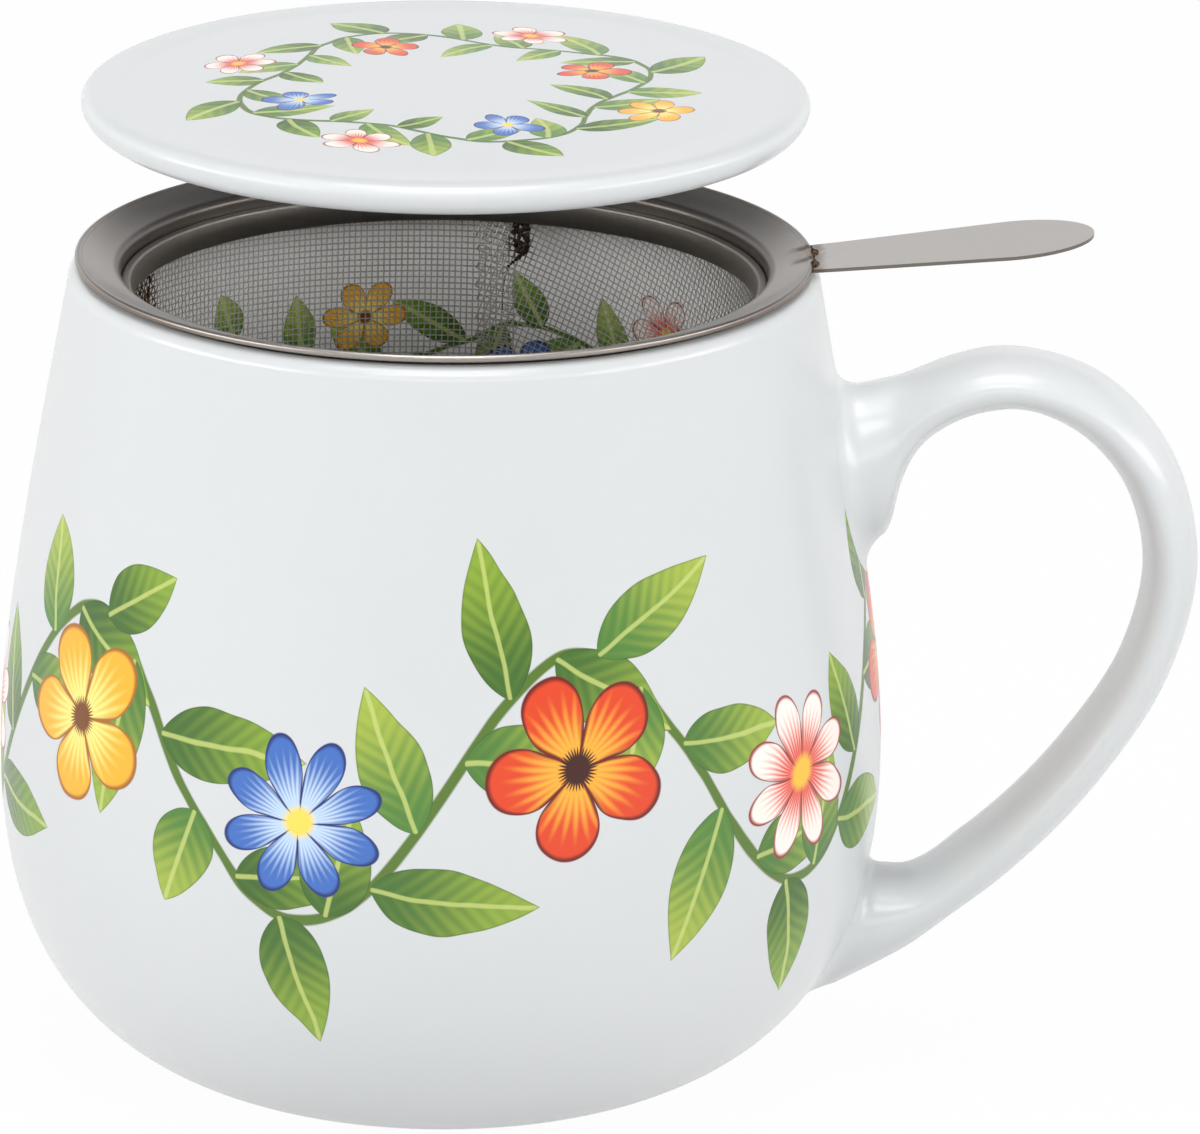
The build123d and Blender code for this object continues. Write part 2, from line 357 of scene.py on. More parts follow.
def root_rings(rings):
    """The blend of one root: its rings from the wall to the handle, and each line's first free ring."""
    depth = np.hypot(rings[..., 0], rings[..., 1]) - wall_radius(rings[..., 2])
    lines = np.arange(rings.shape[1])
    first = np.argmax(depth > 0, axis=0)
    run = np.cumsum(np.linalg.norm(np.diff(rings, axis=0, prepend=rings[:1]), axis=2), axis=0)
    free = np.array([np.searchsorted(run[:, i], run[first[i], i] + root_blend) for i in lines])
    corner = on_wall(rings[first, lines])
    start = rings[free, lines]
    middle = corner.mean(0)
    away = corner - middle
    away /= np.linalg.norm(away, axis=1)[:, None]
    foot = on_wall(corner + away * root_blend)
    t = np.linspace(0, 1, 9)[:, None, None]
    return (1 - t) ** 2 * foot + 2 * t * (1 - t) * corner + t**2 * start, free


def make_handle():
    """The strap handle with both roots blended into the wall."""
    rings = handle_surface()
    upper, upper_free = root_rings(rings)
    lower, lower_free = root_rings(rings[::-1])
    last = len(rings) - 1 - lower_free
    lines = np.arange(rings.shape[1])
    shares = np.linspace(0, 1, 220)[1:-1, None]
    wanted = upper_free + (last - upper_free) * shares
    low = np.floor(wanted).astype(int)
    part = (wanted - low)[..., None]
    strap = rings[low, lines] * (1 - part) + rings[low + 1, lines] * part
    sink = 1 - wall / 2 / belly_radius
    into_wall = np.array([sink, sink, 1])
    whole = np.concatenate([upper[:1] * into_wall, upper, strap, lower[::-1], lower[:1] * into_wall])
    count = len(lines)
    ends = [tuple(range(count)), tuple(range((len(whole) - 1) * count, len(whole) * count))]
    faces = grid_faces(len(whole), count, closed=True) + ends
    piece = mesh_object("mug_handle_glazed", whole.reshape(-1, 3), faces)
    merge_close(piece)
    return piece


def lid_profile():
    """The lid's outline from the middle of its top to the middle of its underside."""
    edge = lid_low[2] + lid_ring_depth + lid_edge_height
    seat = lid_low[2] + lid_ring_depth
    shoulder = edge + lid_shoulder_height
    shoulder_radius = lid_radius - lid_shoulder_width
    top = lid_high[2]
    under = top - lid_thickness
    drop = top - shoulder
    r = np.linspace(0, shoulder_radius, 24)
    crown = np.stack([r, top - drop * (r / shoulder_radius) ** 2], 1)
    slope = -2 * drop / shoulder_radius
    shoulder_curve = smooth_curve([crown[-1], (lid_radius, edge)], (1, slope), (0, -1), 24)
    lower = smooth_curve([(lid_radius, edge), (lid_radius - lid_seat_width, seat)], (0, -1), (-1, 0), 12)
    ring_inner = lid_ring_radius - lid_ring_width
    round_height = lid_low[2] + lid_ring_round
    ring = np.concatenate([
        [(lid_ring_radius, under)],
        arc((lid_ring_radius - lid_ring_round, round_height), lid_ring_round, 0, -90),
        arc((ring_inner + lid_ring_round, round_height), lid_ring_round, -90, -180),
        [(ring_inner, under), (0, under)],
    ])
    seat_inner = lid_radius - 2 * lid_seat_width
    return np.concatenate([crown, shoulder_curve, lower, [(seat_inner, seat)], ring])


# Steel outlines


def flange_top(radius):
    """The height of the flange's upper face at this radius."""
    hem = rim_high[2] - 2 * hem_radius
    return hem + (radius - (flange_radius - hem_radius)) * flange_slope + sheet


def make_rim():
    """The pressed rim: hem, cone, bend and neck, as one closed sheet outline."""
    hem_centre = (flange_radius - hem_radius, rim_high[2] - hem_radius)
    bend_radius = neck_bend + sheet
    tilt = math.degrees(math.atan(flange_slope))
    inner_radius = neck_radius - sheet
    bend_x = inner_radius + bend_radius
    bend_z = flange_top(bend_x) - bend_radius / math.cos(math.radians(tilt))
    upper_bend = arc((bend_x, bend_z), bend_radius, 90 + tilt, 180)
    lower_bend = arc((bend_x, bend_z), neck_bend, 180, 90 + tilt)
    profile = np.concatenate([
        arc(hem_centre, hem_radius, -90, 150, 17),
        upper_bend,
        [(inner_radius, rim_low[2]), (neck_radius, rim_low[2])],
        lower_bend,
    ])
    return lathe("strainer_rim_pressed", profile, closed=True)


def make_retaining_ring():
    """The band inside the neck, rolled over at its top."""
    inner = ring_high[1] - ring_step - ring_thickness
    roll = ring_thickness / 2
    profile = np.concatenate([
        [(inner, ring_low[2]), (inner + ring_thickness, ring_low[2])],
        [(inner + ring_thickness, ring_high[2] - ring_thickness)],
        arc((ring_high[1] - roll, ring_high[2] - roll), roll, -90, 90),
        arc((inner + roll, ring_high[2] - roll), roll, 90, 180),
    ])
    return lathe("strainer_ring_rolled", profile, closed=True)


def make_base_ring():
    """The crimped ring under wall and floor."""
    outer = base_high[1]
    inner = outer - sheet
    lip = cone_radius(mesh_low[2]) - 2 * base_ring_round - base_ring_lip
    profile = np.concatenate([
        [(lip, base_low[2] + sheet), (lip, base_low[2])],
        arc((outer - base_ring_round, base_low[2] + base_ring_round), base_ring_round, -90, 0),
        arc((outer - sheet / 2, base_high[2] - sheet / 2), sheet / 2, 0, 180),
        [(inner, base_low[2] + sheet)],
    ])
    return lathe("strainer_base_crimp", profile, closed=True)


def make_tab():
    """The grip tab: straight sides that widen into a round end, bent up where it leaves the hem."""
    turn = np.radians(np.linspace(tab_round_degrees, 0, 40))
    middle = tab_high[0] - tab_round_length
    end = np.stack([middle + tab_round_length * np.cos(turn), tab_wide_width / 2 * np.sin(turn)], 1)
    sides = np.linspace((flange_radius, tab_root_width / 2), end[0], 9)[:-1]
    outline = np.concatenate([sides, end])
    across = np.linspace(-1, 1, 13)
    y = outline[:, 1:] * across
    x = np.repeat(outline[:, :1], len(across), 1)
    x[0] = np.sqrt(flange_radius**2 - y[0] ** 2)
    z = tab_low[2] - tab_drop + np.maximum(x - flange_radius, 0) * math.tan(tab_tilt)
    under = np.stack([x, y, z], 2)
    over = under + np.array([0, 0, tab_thickness])
    rings = np.concatenate([over, under[:, ::-1]], 1)
    count = rings.shape[1]
    root = [(i, i + 1, count - 2 - i, count - 1 - i) for i in range(len(across) - 1)]
    faces = grid_faces(len(rings), count, closed=True) + root
    piece = mesh_object("strainer_tab_sheet", rings.reshape(-1, 3), faces)
    merge_close(piece)
    return piece


# Woven wire


def cone_radius(height):
    """The mesh wall's outer radius at this height."""
    return mesh_radius - (rim_low[2] - height) * math.tan(basket_taper)


def tubes(points, inside, side, normal, along):
    """Three-sided wires through a grid of points, along its first or second axis, as vertices and faces."""
    corners = np.radians([90, 210, 330])
    ring = [side * math.cos(c) * wire_radius + normal * math.sin(c) * wire_radius for c in corners]
    vertices = np.stack([points + offset for offset in ring], 2)
    number = np.full(inside.shape, -1)
    number[inside] = np.arange(inside.sum())
    vertices = vertices[inside].reshape(-1, 3)
    if along == 0:
        first, second = number[:-1, :], number[1:, :]
    else:
        first, second = number[:, :-1], number[:, 1:]
    both = (first >= 0) & (second >= 0)
    a, b = first[both] * 3, second[both] * 3
    sides = [np.stack([a + i, a + (i + 1) % 3, b + (i + 1) % 3, b + i], 1) for i in range(3)]
    starts = [(s + 2, s + 1, s) for s in np.setdiff1d(a, b).tolist()]
    ends = [(e, e + 1, e + 2) for e in np.setdiff1d(b, a).tolist()]
    return vertices, np.concatenate(sides).tolist() + starts + ends


def woven(name, place, inside, u, v):
    """A plain weave over a flat grid u by v, put in space by place. Gives its warp and its weft."""
    step = 1e-6
    points, normal = place(u, v)
    side_u = (place(u + step, v)[0] - points) / step
    side_v = (place(u, v + step)[0] - points) / step
    side_u /= np.linalg.norm(side_u, axis=2)[..., None]
    side_v /= np.linalg.norm(side_v, axis=2)[..., None]
    rows, columns = np.indices(u.shape)
    over = np.where((rows + columns) % 2 == 0, 1, -1)[..., None] * wire_radius
    pieces = []
    for label, sign, side, along in (("warp", 1, side_v, 1), ("weft", -1, -side_u, 0)):
        vertices, faces = tubes(points + normal * over * sign, inside, side, normal, along)
        pieces.append(mesh_object(f"{name}_{label}", vertices, faces, 180))
    return pieces


def make_mesh_wall():
    """Wire cloth cut flat and rolled to a cone, lapped where it closes."""
    top, foot = ring_high[2] - ring_thickness, mesh_low[2]
    sine = math.sin(basket_taper)
    middle_radius = wire_radius * 2

    def slant(height):
        return (cone_radius(height) - middle_radius) / sine

    sector = 2 * math.pi * sine
    lap = seam_lap / slant(top)
    far, near = slant(top), slant(foot)
    low_u, high_u = -wire_pitch, far * math.sin(sector + lap)
    low_v, high_v = near * math.cos(sector + lap), far
    v, u = np.meshgrid(np.arange(low_v, high_v, wire_pitch), np.arange(low_u, high_u, wire_pitch))
    u = u.T.copy()
    v = v.T.copy()

    def place(u, v):
        distance, angle = np.hypot(u, v), np.arctan2(u, v)
        turn = seam_turn + angle / sine
        inward = np.clip((angle - sector) / (lap / 2), 0, 1) * wire_radius * 4
        radius = distance * sine - inward
        height = top - (far - distance) * math.cos(basket_taper)
        points = np.stack([radius * np.cos(turn), radius * np.sin(turn), height], 2)
        flat = math.cos(basket_taper)
        normal = np.stack([np.cos(turn) * flat, np.sin(turn) * flat, np.full_like(u, -sine)], 2)
        return points, normal

    distance, angle = np.hypot(u, v), np.arctan2(u, v)
    inside = (distance < far) & (distance > near) & (angle >= 0) & (angle <= sector + lap)
    return woven("strainer_cloth_wall", place, inside, u, v)


def make_mesh_floor():
    """The flat disc of wire cloth in the basket's floor."""
    reach = cone_radius(mesh_low[2]) - 4 * wire_radius
    count = int(reach / wire_pitch)
    line = np.arange(-count, count + 1) * wire_pitch
    u, v = np.meshgrid(line, line)
    height = base_low[2] + sheet + 2.5 * wire_radius

    def place(u, v):
        points = np.stack([u, v, np.full_like(u, height)], 2)
        return points, np.broadcast_to([0.0, 0.0, 1.0], points.shape)

    return woven("strainer_cloth_floor", place, np.hypot(u, v) < reach, u, v)


# Materials, worked out from places on the object in millimetres


class Field:
    """A number or colour that a material works out at each point."""

    def __init__(self, socket):
        self.socket = socket

    def __add__(self, other):
        return calculate("ADD", self, other)

    def __sub__(self, other):
        return calculate("SUBTRACT", self, other)

    def __rsub__(self, other):
        return calculate("SUBTRACT", other, self)

    def __mul__(self, other):
        return calculate("MULTIPLY", self, other)

    def __truediv__(self, other):
        return calculate("DIVIDE", self, other)


def feed(socket, value):
    """Gives a socket a field or a plain value."""
    if isinstance(value, Field):
        socket.id_data.links.new(value.socket, socket)
    else:
        socket.default_value = value


def calculate(operation, *values):
    """One arithmetic step on fields and numbers."""
    tree = next(v.socket.id_data for v in values if isinstance(v, Field))
    node = tree.nodes.new("ShaderNodeMath")
    node.operation = operation
    for socket, value in zip(node.inputs, values):
        feed(socket, value)
    return Field(node.outputs[0])


def ramp(value, low, high):
    """A smooth step from 0 at low to 1 at high."""
    node = value.socket.id_data.nodes.new("ShaderNodeMapRange")
    node.interpolation_type = "SMOOTHSTEP"
    feed(node.inputs["Value"], value)
    feed(node.inputs["From Min"], low)
    feed(node.inputs["From Max"], high)
    return Field(node.outputs["Result"])


def spread(value, low, high):
    """A field from 0 to 1, spread from low to high."""
    return value * (high - low) + low


def blend(share, below, above):
    """The colour at this share of the way from below to above."""
    node = share.socket.id_data.nodes.new("ShaderNodeMix")
    node.data_type = "RGBA"
    feed(node.inputs["Factor"], share)
    feed(node.inputs["A"], below)
    feed(node.inputs["B"], above)
    return Field(node.outputs["Result"])


def scatter(value, seed):
    """A random number from 0 to 1 for each value."""
    node = value.socket.id_data.nodes.new("ShaderNodeTexWhiteNoise")
    node.noise_dimensions = "1D"
    feed(node.inputs["W"], value + seed)
    return Field(node.outputs["Value"])


def cloud(tree, size, detail=3.0, stretch=(1, 1, 1), vector=None):
    """Soft noise with spots of this size in millimetres."""
    nodes = tree.nodes
    if vector is None:
        vector = Field(nodes.new("ShaderNodeTexCoord").outputs["Object"])
    mapping = nodes.new("ShaderNodeMapping")
    mapping.inputs["Scale"].default_value = [1000 / size * s for s in stretch]
    feed(mapping.inputs["Vector"], vector)
    noise = nodes.new("ShaderNodeTexNoise")
    noise.inputs["Scale"].default_value = 1
    noise.inputs["Detail"].default_value = detail
    tree.links.new(mapping.outputs["Vector"], noise.inputs["Vector"])
    return Field(noise.outputs["Fac"])


def places(tree):
    """The point's x, y and z on the object, in millimetres."""
    nodes = tree.nodes
    split = nodes.new("ShaderNodeSeparateXYZ")
    tree.links.new(nodes.new("ShaderNodeTexCoord").outputs["Object"], split.inputs["Vector"])
    return [Field(split.outputs[axis]) * 1000 for axis in "XYZ"]


def rgb(red, green, blue):
    """A colour for a shader from its screen values."""
    shares = [value / 255 for value in (red, green, blue)]
    return (*(s / 12.92 if s < 0.04045 else ((s + 0.055) / 1.055) ** 2.4 for s in shares), 1)


def new_material(name):
    """A node material and its shader."""
    material = bpy.data.materials.new(name)
    material.use_nodes = True
    return material, material.node_tree, material.node_tree.nodes["Principled BSDF"]


# The print: a winding vine with leaves and blossoms

blossom_colours = {
    "red": (rgb(64, 26, 18), rgb(250, 176, 60), rgb(222, 70, 32), rgb(112, 28, 20)),
    "yellow": (rgb(120, 66, 20), rgb(252, 230, 130), rgb(240, 178, 44), rgb(168, 100, 28)),
    "blue": (rgb(246, 216, 90), rgb(196, 218, 242), rgb(66, 110, 188), rgb(32, 50, 116)),
    "white": (rgb(242, 190, 58), rgb(226, 82, 62), rgb(250, 238, 230), rgb(150, 52, 48)),
}
leaf_shadow = rgb(46, 72, 30)
leaf_greens = (rgb(58, 92, 34), rgb(118, 156, 46), rgb(84, 132, 58), rgb(168, 186, 76))
leaf_rib = rgb(196, 208, 120)
vine_green = rgb(88, 118, 44)

# Each vine: radius of its circle, waves, middle height, swing, leaves in a wave and their length, then its
# blossoms: share of the wave, height above the middle, radius, petals and two sets of colours
Vine = namedtuple("Vine", "radius waves middle swing leaves length blossoms")
Blossom = namedtuple("Blossom", "share above size petals first second")
wall_vine = Vine(
    radius=48.5, waves=5, middle=46, swing=15, leaves=12, length=15,
    blossoms=[Blossom(0.25, 3, 10.5, 5, "red", "yellow"), Blossom(0.75, -3, 9.5, 8, "blue", "white")],
)
inside_vine = Vine(
    radius=41, waves=7, middle=71, swing=3, leaves=8, length=8,
    blossoms=[Blossom(0.25, -4, 5.5, 5, "red", "blue"), Blossom(0.75, 4, 5, 6, "yellow", "white")],
)
lid_vine = Vine(
    radius=21, waves=4, middle=21, swing=3, leaves=8, length=8,
    blossoms=[Blossom(0.25, -3.5, 4.5, 5, "red", "blue"), Blossom(0.75, 3.5, 4, 6, "yellow", "white")],
)


def paint_blossom(across, up, under, radius, petals, turn, colours):
    """One blossom at the origin of across and up, painted over under."""
    heart, inner, outer, rim = colours
    far = calculate("SQRT", across * across + up * up) / radius
    angle = calculate("ARCTAN2", up, across) + math.radians(turn)
    lobe = calculate("ABSOLUTE", calculate("COSINE", angle * (petals / 2)))
    reach = calculate("POWER", lobe, 0.55) * 0.62 + 0.38
    streak = calculate("SINE", angle * (petals * 7)) * 0.12
    inside = reach - far
    colour = blend(ramp(far + streak, 0.2, 0.75), inner, outer)
    colour = blend(ramp(lobe, 0.32, 0.08), colour, rim)
    colour = blend(ramp(inside, 0.09, 0.03), colour, rim)
    colour = blend(ramp(far + streak * 0.3, 0.2, 0.15), colour, heart)
    return blend(ramp(inside, 0, 0.02), under, colour)


def paint_leaf(across, up, under, length, width, hue):
    """One leaf that grows up from the origin, painted over under."""
    share = calculate("MAXIMUM", up / length, 0)
    skew = calculate("POWER", share, 0.75)
    side = calculate("ABSOLUTE", across)
    edge = (1 - skew) * skew * (2 * width) - side
    vein = calculate("SINE", up * 3.1 - side * 3.4) * 0.1
    dark = blend(hue, leaf_greens[0], leaf_greens[2])
    light = blend(hue, leaf_greens[1], leaf_greens[3])
    colour = blend(ramp(share + vein, 0.05, 0.95), dark, light)
    colour = blend(ramp(side, 0.36, 0.16) * 0.75, colour, leaf_rib)
    colour = blend(ramp(edge, 0.3, 0.05) * 0.6, colour, leaf_shadow)
    return blend(ramp(edge, 0, 0.12), under, colour)


def paint_vine(tree, colour, angle, height, vine):
    """A vine that winds round a circle, painted over colour."""
    radius, waves, middle, swing, leaves, length, blossoms = vine
    sway = (cloud(tree, 14, 2) - 0.5) * 3
    height = height + sway
    wave = 2 * math.pi * radius / waves
    turns = angle * (waves / 2 / math.pi) + sway * (0.5 / wave)

    def around(share):
        place = turns + (0.5 - share)
        number = calculate("FLOOR", place)
        return (place - number - 0.5) * wave, calculate("FLOORED_MODULO", number, waves)

    phase = turns * (2 * math.pi)
    slope = calculate("COSINE", phase) * (swing * waves / radius)
    rise = height - middle - calculate("SINE", phase) * swing
    off = calculate("ABSOLUTE", rise) / calculate("SQRT", slope * slope + 1)
    colour = blend(ramp(off, length * 0.05, length * 0.03), colour, vine_green)
    for i in range(leaves):
        share = (i + 0.5) / leaves
        local, number = around(share)
        up = height - (middle + swing * math.sin(2 * math.pi * share))
        tangent = math.atan(swing * waves / radius * math.cos(2 * math.pi * share))
        turn = tangent + math.radians(54 if i % 2 else -54)
        c, s = math.cos(turn), math.sin(turn)
        long = spread(scatter(number, 7.3 * i), 0.8 * length, 1.25 * length)
        hue = scatter(number, 7.3 * i + 3)
        colour = paint_leaf(up * c - local * s, local * c + up * s, colour, long, 0.52 * length, hue)
    for share, above, size, petals, first, second in blossoms:
        local, number = around(share)
        pick = ramp(scatter(number, 5.1 * petals), 0.49, 0.51)
        colours = [blend(pick, a, b) for a, b in zip(blossom_colours[first], blossom_colours[second])]
        colour = paint_blossom(local, height - middle - above, colour, size, petals, 20 * petals, colours)
    return colour


def paint_wall(tree, white, vine):
    """A vine round the outside or the inside of the mug's wall."""
    x, y, z = places(tree)
    return paint_vine(tree, white, calculate("ARCTAN2", x, y * -1), z, vine)


def paint_lid(tree, white):
    """A wreath round the middle of the lid's top."""
    x, y, _ = places(tree)
    return paint_vine(tree, white, calculate("ARCTAN2", y, x), calculate("SQRT", x * x + y * y), lid_vine)


# Glaze and steel

porcelain_whites = (0.63, 0.65, 0.66), (0.655, 0.672, 0.677)
# The inside's white is painted lighter: painted light on the wall behind the wire cloth.
inside_painted_light = (1.4, 1.35, 1.31)
# Brown of heat marks, also used as painted shade under the rim's hem.
heat_and_shade_brown = rgb(100, 74, 52)
heat_black = rgb(52, 36, 26)
heat_straw = rgb(142, 118, 88)
# Painted shade in the rim's bend and neck.
neck_painted_shade = rgb(74, 64, 56)
# Painted light on the front of the flange.
front_painted_light = (0.78, 0.74, 0.69, 1)
# Painted shade on the tab's cut edges.
edge_painted_shade = (0.2, 0.18, 0.16, 1)

# The dark streaks on the flange where the tab is welded on: place across and start outwards
weld_streaks = (4.0, 37.6), (-0.5, 37.9)


def make_porcelain(name, paint=None, tone=(1, 1, 1)):
    """White glaze with a faint unevenness in tone, gloss and surface, and a print under it."""
    material, tree, shader = new_material(name)
    patch = cloud(tree, 25, 4)
    dim, bright = [(*(c * t for c, t in zip(white, tone)), 1) for white in porcelain_whites]
    colour = blend(patch, dim, bright)
    if paint:
        colour = paint(tree, colour)
    feed(shader.inputs["Base Color"], colour)
    feed(shader.inputs["Roughness"], spread(patch, 0.22, 0.28))
    bump = tree.nodes.new("ShaderNodeBump")
    bump.inputs["Strength"].default_value = 0.03
    bump.inputs["Distance"].default_value = 0.0002
    feed(bump.inputs["Height"], cloud(tree, 4, 1))
    feed(shader.inputs["Normal"], Field(bump.outputs["Normal"]))
    return material


def steel_shader(name, tone, contrast, smooth, rough, stretch):
    """Satin steel with faint marks, rubbed one way. Gives the material, its tree, shader and colour."""
    material, tree, shader = new_material(name)
    shader.inputs["Metallic"].default_value = 1
    marks = cloud(tree, 0.5, 3, stretch) * 0.5 + cloud(tree, 9, 3) * 0.5
    feed(shader.inputs["Roughness"], spread(marks, smooth, rough))
    dark, light = [(*(t * (1 + way * contrast) for t in tone), 1) for way in (-1, 1)]
    return material, tree, shader, blend(ramp(marks, 0.3, 0.7), dark, light)


def make_rim_steel():
    """The rim's steel, with painted shade in its bend and under its hem, painted light at its front and weld
    heat marks.
    """
    material, tree, shader, colour = steel_shader(
        "steel_rim", tone=(0.5, 0.47, 0.445), contrast=0.03, smooth=0.33, rough=0.39, stretch=(1, 1, 0.2)
    )
    x, y, z = places(tree)
    ragged = (cloud(tree, 1.2, 3) - 0.5) * 1.1
    radius = calculate("SQRT", x * x + y * y)
    bend, edge, top = (length * 1000 for length in (neck_radius + neck_bend, flange_radius, rim_high[2]))
    # Painted shade over the bend and down the neck.
    colour = blend(ramp(radius, bend + 0.1, bend - 0.5) * 0.7, colour, neck_painted_shade)
    # Painted light on the front of the flange, inside the hem.
    front = ramp(y * -1, 26, 38)
    hem = ramp(radius, edge - 0.9, edge - 0.7)
    colour = blend((1 - hem) * front * 0.6, colour, front_painted_light)
    # Painted shade under the hem, weaker at the front.
    under = hem * ramp(z, top - 0.05, top - 0.35)
    colour = blend(under * (0.7 - front * 0.35), colour, heat_and_shade_brown)
    warm = ramp(x + ragged * 3, 37.6, 41.5) * ramp(calculate("ABSOLUTE", y - 1.6) + ragged * 2, 4.5, 2.6)
    colour = blend(warm * 0.6, colour, heat_straw)
    for place, start in weld_streaks:
        side = calculate("ABSOLUTE", y - place + ragged * 0.6)
        streak = ramp(side, 1.1, 0.3) * ramp(x + ragged * 1.5, start, start + 2.2)
        colour = blend(streak, colour, blend(ramp(x, 39.5, 41), heat_and_shade_brown, heat_black))
    feed(shader.inputs["Base Color"], colour)
    return material


def make_sheet_steel():
    """The steel of the two rings."""
    material, _, shader, colour = steel_shader(
        "steel_sheet", tone=(0.42, 0.385, 0.35), contrast=0.05, smooth=0.42, rough=0.5, stretch=(1, 1, 0.2)
    )
    feed(shader.inputs["Base Color"], colour)
    return material


def make_tab_steel():
    """The tab's steel, rubbed along its length, with painted shade on its cut edges and a burnt root."""
    material, tree, shader, colour = steel_shader(
        "steel_tab", tone=(0.72, 0.685, 0.645), contrast=0.03, smooth=0.26, rough=0.34, stretch=(0.1, 1, 1)
    )
    x, _, _ = places(tree)
    split = tree.nodes.new("ShaderNodeSeparateXYZ")
    tree.links.new(tree.nodes.new("ShaderNodeNewGeometry").outputs["Normal"], split.inputs["Vector"])
    upright = calculate("ABSOLUTE", Field(split.outputs["Z"]))
    # Painted shade where the faces stand upright: the cut edges.
    colour = blend(ramp(upright, 0.7, 0.3), colour, edge_painted_shade)
    ragged = (cloud(tree, 1.5, 3) - 0.5) * 1.6
    colour = blend(ramp(x + ragged, 42.6, 41.2) * 0.6, colour, heat_and_shade_brown)
    feed(shader.inputs["Base Color"], colour)
    return material


def make_wire_steel():
    """Drawn wire with a warm cast, browned round its two welds."""
    material, tree, shader, colour = steel_shader(
        "steel_wire", tone=(0.57, 0.55, 0.525), contrast=0.06, smooth=0.4, rough=0.5, stretch=(1, 1, 1)
    )
    x, y, z = places(tree)
    ragged = (cloud(tree, 1.5, 3) - 0.5) * 3
    angle = calculate("ARCTAN2", y, x)
    top = rim_low[2] * 1000
    for turn, wide, deep in ((seam_turn - math.radians(1), 1.2, 4.5), (clamp_turn, 3.4, 6)):
        side = calculate("ABSOLUTE", (angle - turn) * (mesh_radius * 1000)) + ragged
        brown = ramp(side, wide + 0.8, wide - 0.4) * ramp(z + ragged, top - deep - 0.8, top - deep + 0.8)
        colour = blend(brown * 0.9, colour, heat_and_shade_brown)
    feed(shader.inputs["Base Color"], colour)
    return material


def make_weld(name, dark, light):
    """Rough weld metal, burnt in patches."""
    material, tree, shader = new_material(name)
    shader.inputs["Metallic"].default_value = 0.7
    spots = cloud(tree, 0.8, 4)
    feed(shader.inputs["Base Color"], blend(ramp(spots, 0.4, 0.65), dark, light))
    feed(shader.inputs["Roughness"], spread(spots, 0.35, 0.6))
    return material


def give(piece, material, body, slot, *replaced):
    """Puts a piece on its CAD body, with its material and the CAD nodes that it stands for."""
    piece.data.materials.clear()
    piece.data.materials.append(material)
    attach(piece, body)
    if replaced:
        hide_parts(*replaced)


def lumps(name, centres, sizes):
    """Small uneven beads at these centres, as one mesh."""
    picker = random.Random(7)
    vertices, faces = [], []
    rows, columns, unevenness = 7, 10, 0.16
    for (x, y, z), (wide, deep, high) in zip(centres, sizes):
        start = len(vertices)
        for r in range(rows + 1):
            polar = math.pi * r / rows
            for c in range(columns):
                turn = 2 * math.pi * c / columns
                swell = 1 + picker.uniform(-unevenness, unevenness) * (0 < r < rows)
                ring = math.sin(polar) * swell
                vertices.append((
                    x + wide * ring * math.cos(turn),
                    y + deep * ring * math.sin(turn),
                    z + high * math.cos(polar) * swell,
                ))
        faces += [tuple(start + i for i in face) for face in grid_faces(rows + 1, columns, closed=True)]
    piece = mesh_object(name, vertices, faces, 180)
    merge_close(piece)
    return piece


def make_tab_welds():
    """A row of beads between the hem and the tab, with two thick places."""
    picker = random.Random(3)
    centres, sizes = [], []
    lift = 0.0001
    for y in np.linspace(-0.5, 0.5, bead_count) * bead_row_share * tab_root_width:
        humps = sum(math.exp(-(((y - middle) / half) ** 2)) for middle, half in bead_humps)
        thick = (bead_thin + bead_thick * humps) * picker.uniform(0.85, 1.15)
        x = math.sqrt(flange_radius**2 - y**2) + lift * humps
        centres.append((x, y, tab_low[2] + lift))
        sizes.append((thick, bead_half_width, thick * 0.9))
    return lumps("tab_weld_beads", centres, sizes)


def cloth_place(turn, aside, below):
    """A place on the cloth's inner face, aside from this turn and below the rim."""
    height = rim_low[2] - below
    radius = cone_radius(height) - 4 * wire_radius
    turn -= aside / radius
    return radius * math.cos(turn), radius * math.sin(turn), height


def make_seam_scale():
    """Burnt scale where the cloth's seam is welded: broad under the ring, then a thin trail."""
    picker = random.Random(5)
    centres, sizes = [], []
    widest = scale_half_width[0][1]
    spacing = 0.0002
    for below in np.arange(0, scale_length, scale_step):
        middle = np.interp(below, *zip(*scale_middle))
        half = np.interp(below, *zip(*scale_half_width))
        for _ in range(math.ceil(half / spacing)):
            size = between(*scale_lump_sizes, half / widest) * picker.uniform(0.7, 1.15)
            centres.append(cloth_place(seam_turn, middle + picker.uniform(-half, half), below))
            sizes.append((size, scale_thickness, size))
    return lumps("strainer_seam_scale", centres, sizes)


def make_clamp_ends():
    """Burnt wire ends under the ring where the clamp was welded."""
    picker = random.Random(11)
    centres, sizes = [], []
    thick, wide = 0.00014, 0.00022
    for _ in range(wire_end_count):
        aside = picker.uniform(-wire_end_spread, wire_end_spread)
        below = picker.uniform(*wire_end_depths)
        centres.append(cloth_place(clamp_turn, aside, below))
        sizes.append((thick, wide, picker.uniform(*wire_end_lengths)))
    return lumps("strainer_clamp_ends", centres, sizes)


# The pieces on their bodies

plain = make_porcelain("porcelain_glaze")
printed = make_porcelain("porcelain_print", lambda tree, white: paint_wall(tree, white, wall_vine))
# The inside's white is lifted by its tone: painted light behind the wire cloth.
lined = make_porcelain(
    "porcelain_inside", lambda tree, white: paint_wall(tree, white, inside_vine), inside_painted_light
)
lid_glaze = make_porcelain("porcelain_lid", paint_lid)
rim_steel = make_rim_steel()
sheet_steel = make_sheet_steel()
tab_steel = make_tab_steel()
wire_steel = make_wire_steel()
weld = make_weld("weld_brown", heat_black, rgb(120, 92, 66))
scale = make_weld("weld_black", rgb(34, 26, 21), rgb(74, 58, 47))

